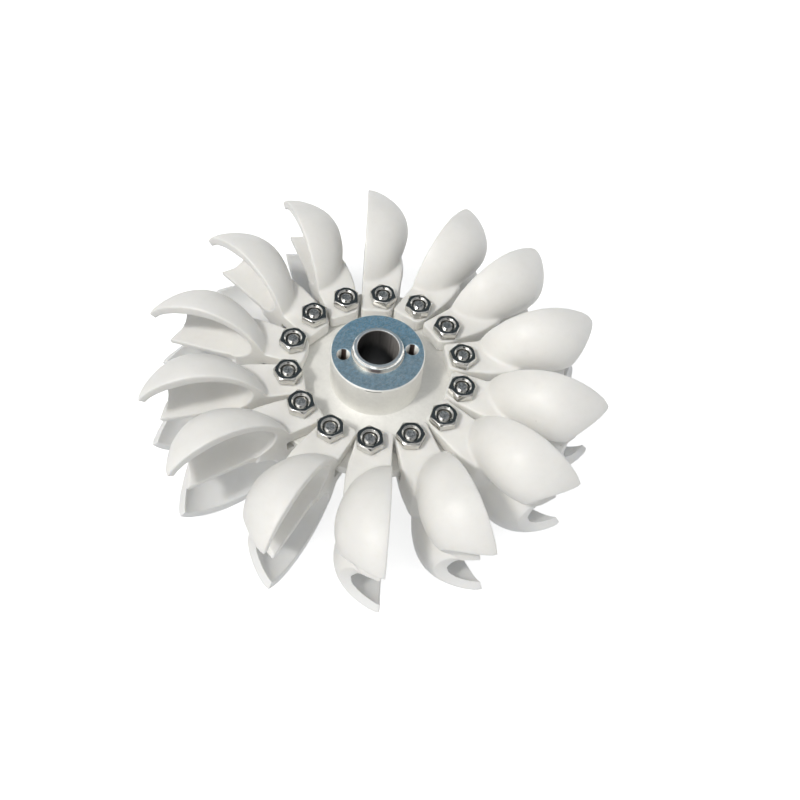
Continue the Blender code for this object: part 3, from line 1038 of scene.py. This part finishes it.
class PELTON_OT_studio(bpy.types.Operator):
    """Sets up the floor, the lights, the surround and the camera."""
    bl_idname = "pelton.studio"
    bl_label = "Studio"

    def execute(self, context):
        light = context.scene.pelton_light
        self.floor(context)
        self.lamp("key_light", KEY_SPOT, KEY_WIDTH, light.key, KEY_COLOUR)
        self.lamp("fill_light", FILL_SPOT, FILL_WIDTH, light.fill, FILL_COLOUR)
        self.lamp("rear_light", REAR_SPOT, REAR_WIDTH, light.rear, WHITE)
        context.object.visible_glossy = False
        self.surround(light.sky)
        self.camera(context)
        context.scene.view_settings.view_transform = "Standard"
        return {"FINISHED"}

    def floor(self, context):
        """A round sheet of paper just under the wheel, its rim raised. It lights no matt surface."""
        low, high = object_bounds()
        bpy.ops.object.select_all(action="DESELECT")
        bpy.ops.mesh.primitive_circle_add(vertices=96, radius=FLOOR_RADIUS, fill_type="NGON",
                                          location=(0, 0, low.z - FLOOR_GAP))
        floor = context.object
        floor.name = "studio_floor"
        bpy.ops.object.mode_set(mode="EDIT")
        bpy.ops.mesh.select_mode(type="VERT")
        bpy.ops.mesh.select_all(action="SELECT")
        bpy.ops.mesh.inset(thickness=FLOOR_RIM_WIDTH)
        bpy.ops.mesh.select_all(action="INVERT")
        bpy.ops.transform.translate(value=(0, 0, FLOOR_RIM_HEIGHT))
        bpy.ops.object.mode_set(mode="OBJECT")
        bpy.ops.object.transform_apply(location=True, rotation=True, scale=True)
        floor.data.materials.append(floor_material(context.scene.pelton_colours))
        floor.visible_diffuse = False
        floor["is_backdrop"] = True

    def lamp(self, name, spot, size, power, colour):
        """A round soft lamp that shines at the wheel."""
        facing = (-Vector(spot)).to_track_quat("-Z", "Y").to_euler()
        bpy.ops.object.light_add(type="AREA", location=spot, rotation=facing)
        lamp = bpy.context.object
        lamp.name = name
        lamp.data.shape = "DISK"
        lamp.data.size = size
        lamp.data.energy = power
        lamp.data.color = colour

    def surround(self, strength):
        """A white room for the metal to reflect, dim at the right and behind, bright by the key lamp."""
        world = bpy.data.worlds.new("studio_surround")
        bpy.context.scene.world = world
        room = Finish(world)
        way = room.node("ShaderNodeTexCoord", output="Generated")
        x, y, z = room.parts(way)
        across = abs(x)
        # Two dark places: a wide one behind the wheel, and a narrow one overhead at the front
        rear = room.span(across, 0.90, 0.72, smooth=True) * room.span(z, -0.05, 0.10, smooth=True)
        rear = rear * room.span(y, 0.02, 0.26, smooth=True)
        front = room.span(across, 0.22, 0.13, smooth=True) * room.span(z, 0.66, 0.74, smooth=True)
        front = front * room.span(y, -0.28, -0.38, smooth=True)
        # Along the horizon the room is dimmer towards the right front, and all round the key lamp it glows
        right = room.span(room.along(way, DIM_WAY), -0.1, 0.8, 0.0, 0.92)
        glow = room.span(room.along(way, Vector(KEY_SPOT).normalized()), 0.955, 0.985, smooth=True)
        colour = room.blend(room.span(z, 0.05, 0.80), rgba(ROOM_LOW), rgba(ROOM_HIGH))
        colour = room.blend(right, colour, rgba(ROOM_RIGHT))
        colour = room.blend(rear, colour, rgba(ROOM_REAR))
        colour = room.blend(glow, colour, rgba(ROOM_LAMP))
        colour = room.blend(front, colour, rgba(ROOM_FRONT))
        # Below, the ground is dark, but for the paper at the right front
        bounce = room.span(room.along(way, PAPER_WAY), -0.2, 0.6)
        paper = room.blend(bounce, rgba(ROOM_GROUND), rgba(ROOM_PAPER))
        colour = room.blend(room.span(z, 0.32, 0.02, smooth=True), colour, paper)
        background = room.tree.nodes["Background"]
        room.feed(background.inputs["Color"], colour)
        room.feed(background.inputs["Strength"], strength)

    def camera(self, context):
        """Stands the camera where the photograph's was."""
        rise, run = sin(CAMERA_ELEVATION), cos(CAMERA_ELEVATION)
        start = Vector((0, -run, rise)) * CAMERA_DISTANCE * MM
        ahead, right, up = Vector((0, run, -rise)), Vector((1, 0, 0)), Vector((0, rise, run))
        ahead = (ahead + right * CAMERA_AIM[0] + up * CAMERA_AIM[1]).normalized()
        across = ahead.cross(up).normalized()
        above = across.cross(ahead)
        side = across * cos(CAMERA_ROLL) + above * sin(CAMERA_ROLL)
        top = above * cos(CAMERA_ROLL) - across * sin(CAMERA_ROLL)
        facing = Matrix((side, top, -ahead)).transposed().to_4x4()
        about = Matrix.Rotation(CAMERA_AZIMUTH, 4, "Z")
        spot = Matrix.Translation((0, 0, BOLT_END * MM)) @ about @ Matrix.Translation(start) @ facing
        bpy.ops.object.camera_add(location=spot.to_translation(), rotation=spot.to_euler())
        camera = context.object
        camera.name = "camera"
        camera.data.lens = FOCAL_LENGTH
        camera.data.sensor_width = SENSOR_WIDTH
        camera.data.clip_start = 0.01
        context.scene.camera = camera


class PELTON_PT_panel(bpy.types.Panel):
    """The wheel's steps, sizes, colours and lights."""
    bl_idname = "PELTON_PT_panel"
    bl_label = "Pelton Wheel"
    bl_space_type = "VIEW_3D"
    bl_region_type = "UI"
    bl_category = "Pelton Wheel"

    def draw(self, context):
        for operator in OPERATORS:
            self.layout.operator(operator.bl_idname)
        for group in (context.scene.pelton_sizes, context.scene.pelton_colours, context.scene.pelton_light):
            box = self.layout.box()
            for key in type(group).__annotations__:
                box.prop(group, key)


OPERATORS = (PELTON_OT_buckets, PELTON_OT_hub, PELTON_OT_nuts, PELTON_OT_bolts, PELTON_OT_studio)
CLASSES = (WheelSizes, WheelColours, StudioLight) + OPERATORS + (PELTON_PT_panel,)


def register():
    for item in CLASSES:
        bpy.utils.register_class(item)
    bpy.types.Scene.pelton_sizes = PointerProperty(type=WheelSizes)
    bpy.types.Scene.pelton_colours = PointerProperty(type=WheelColours)
    bpy.types.Scene.pelton_light = PointerProperty(type=StudioLight)


def unregister():
    del bpy.types.Scene.pelton_light
    del bpy.types.Scene.pelton_colours
    del bpy.types.Scene.pelton_sizes
    for item in reversed(CLASSES):
        bpy.utils.unregister_class(item)


def main():
    bpy.ops.object.select_all(action="DESELECT")
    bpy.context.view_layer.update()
    register()
    bpy.ops.pelton.buckets()
    bpy.ops.pelton.hub()
    bpy.ops.pelton.nuts()
    bpy.ops.pelton.bolts()
    bpy.ops.pelton.studio()


if __name__ == "__main__":
    main()
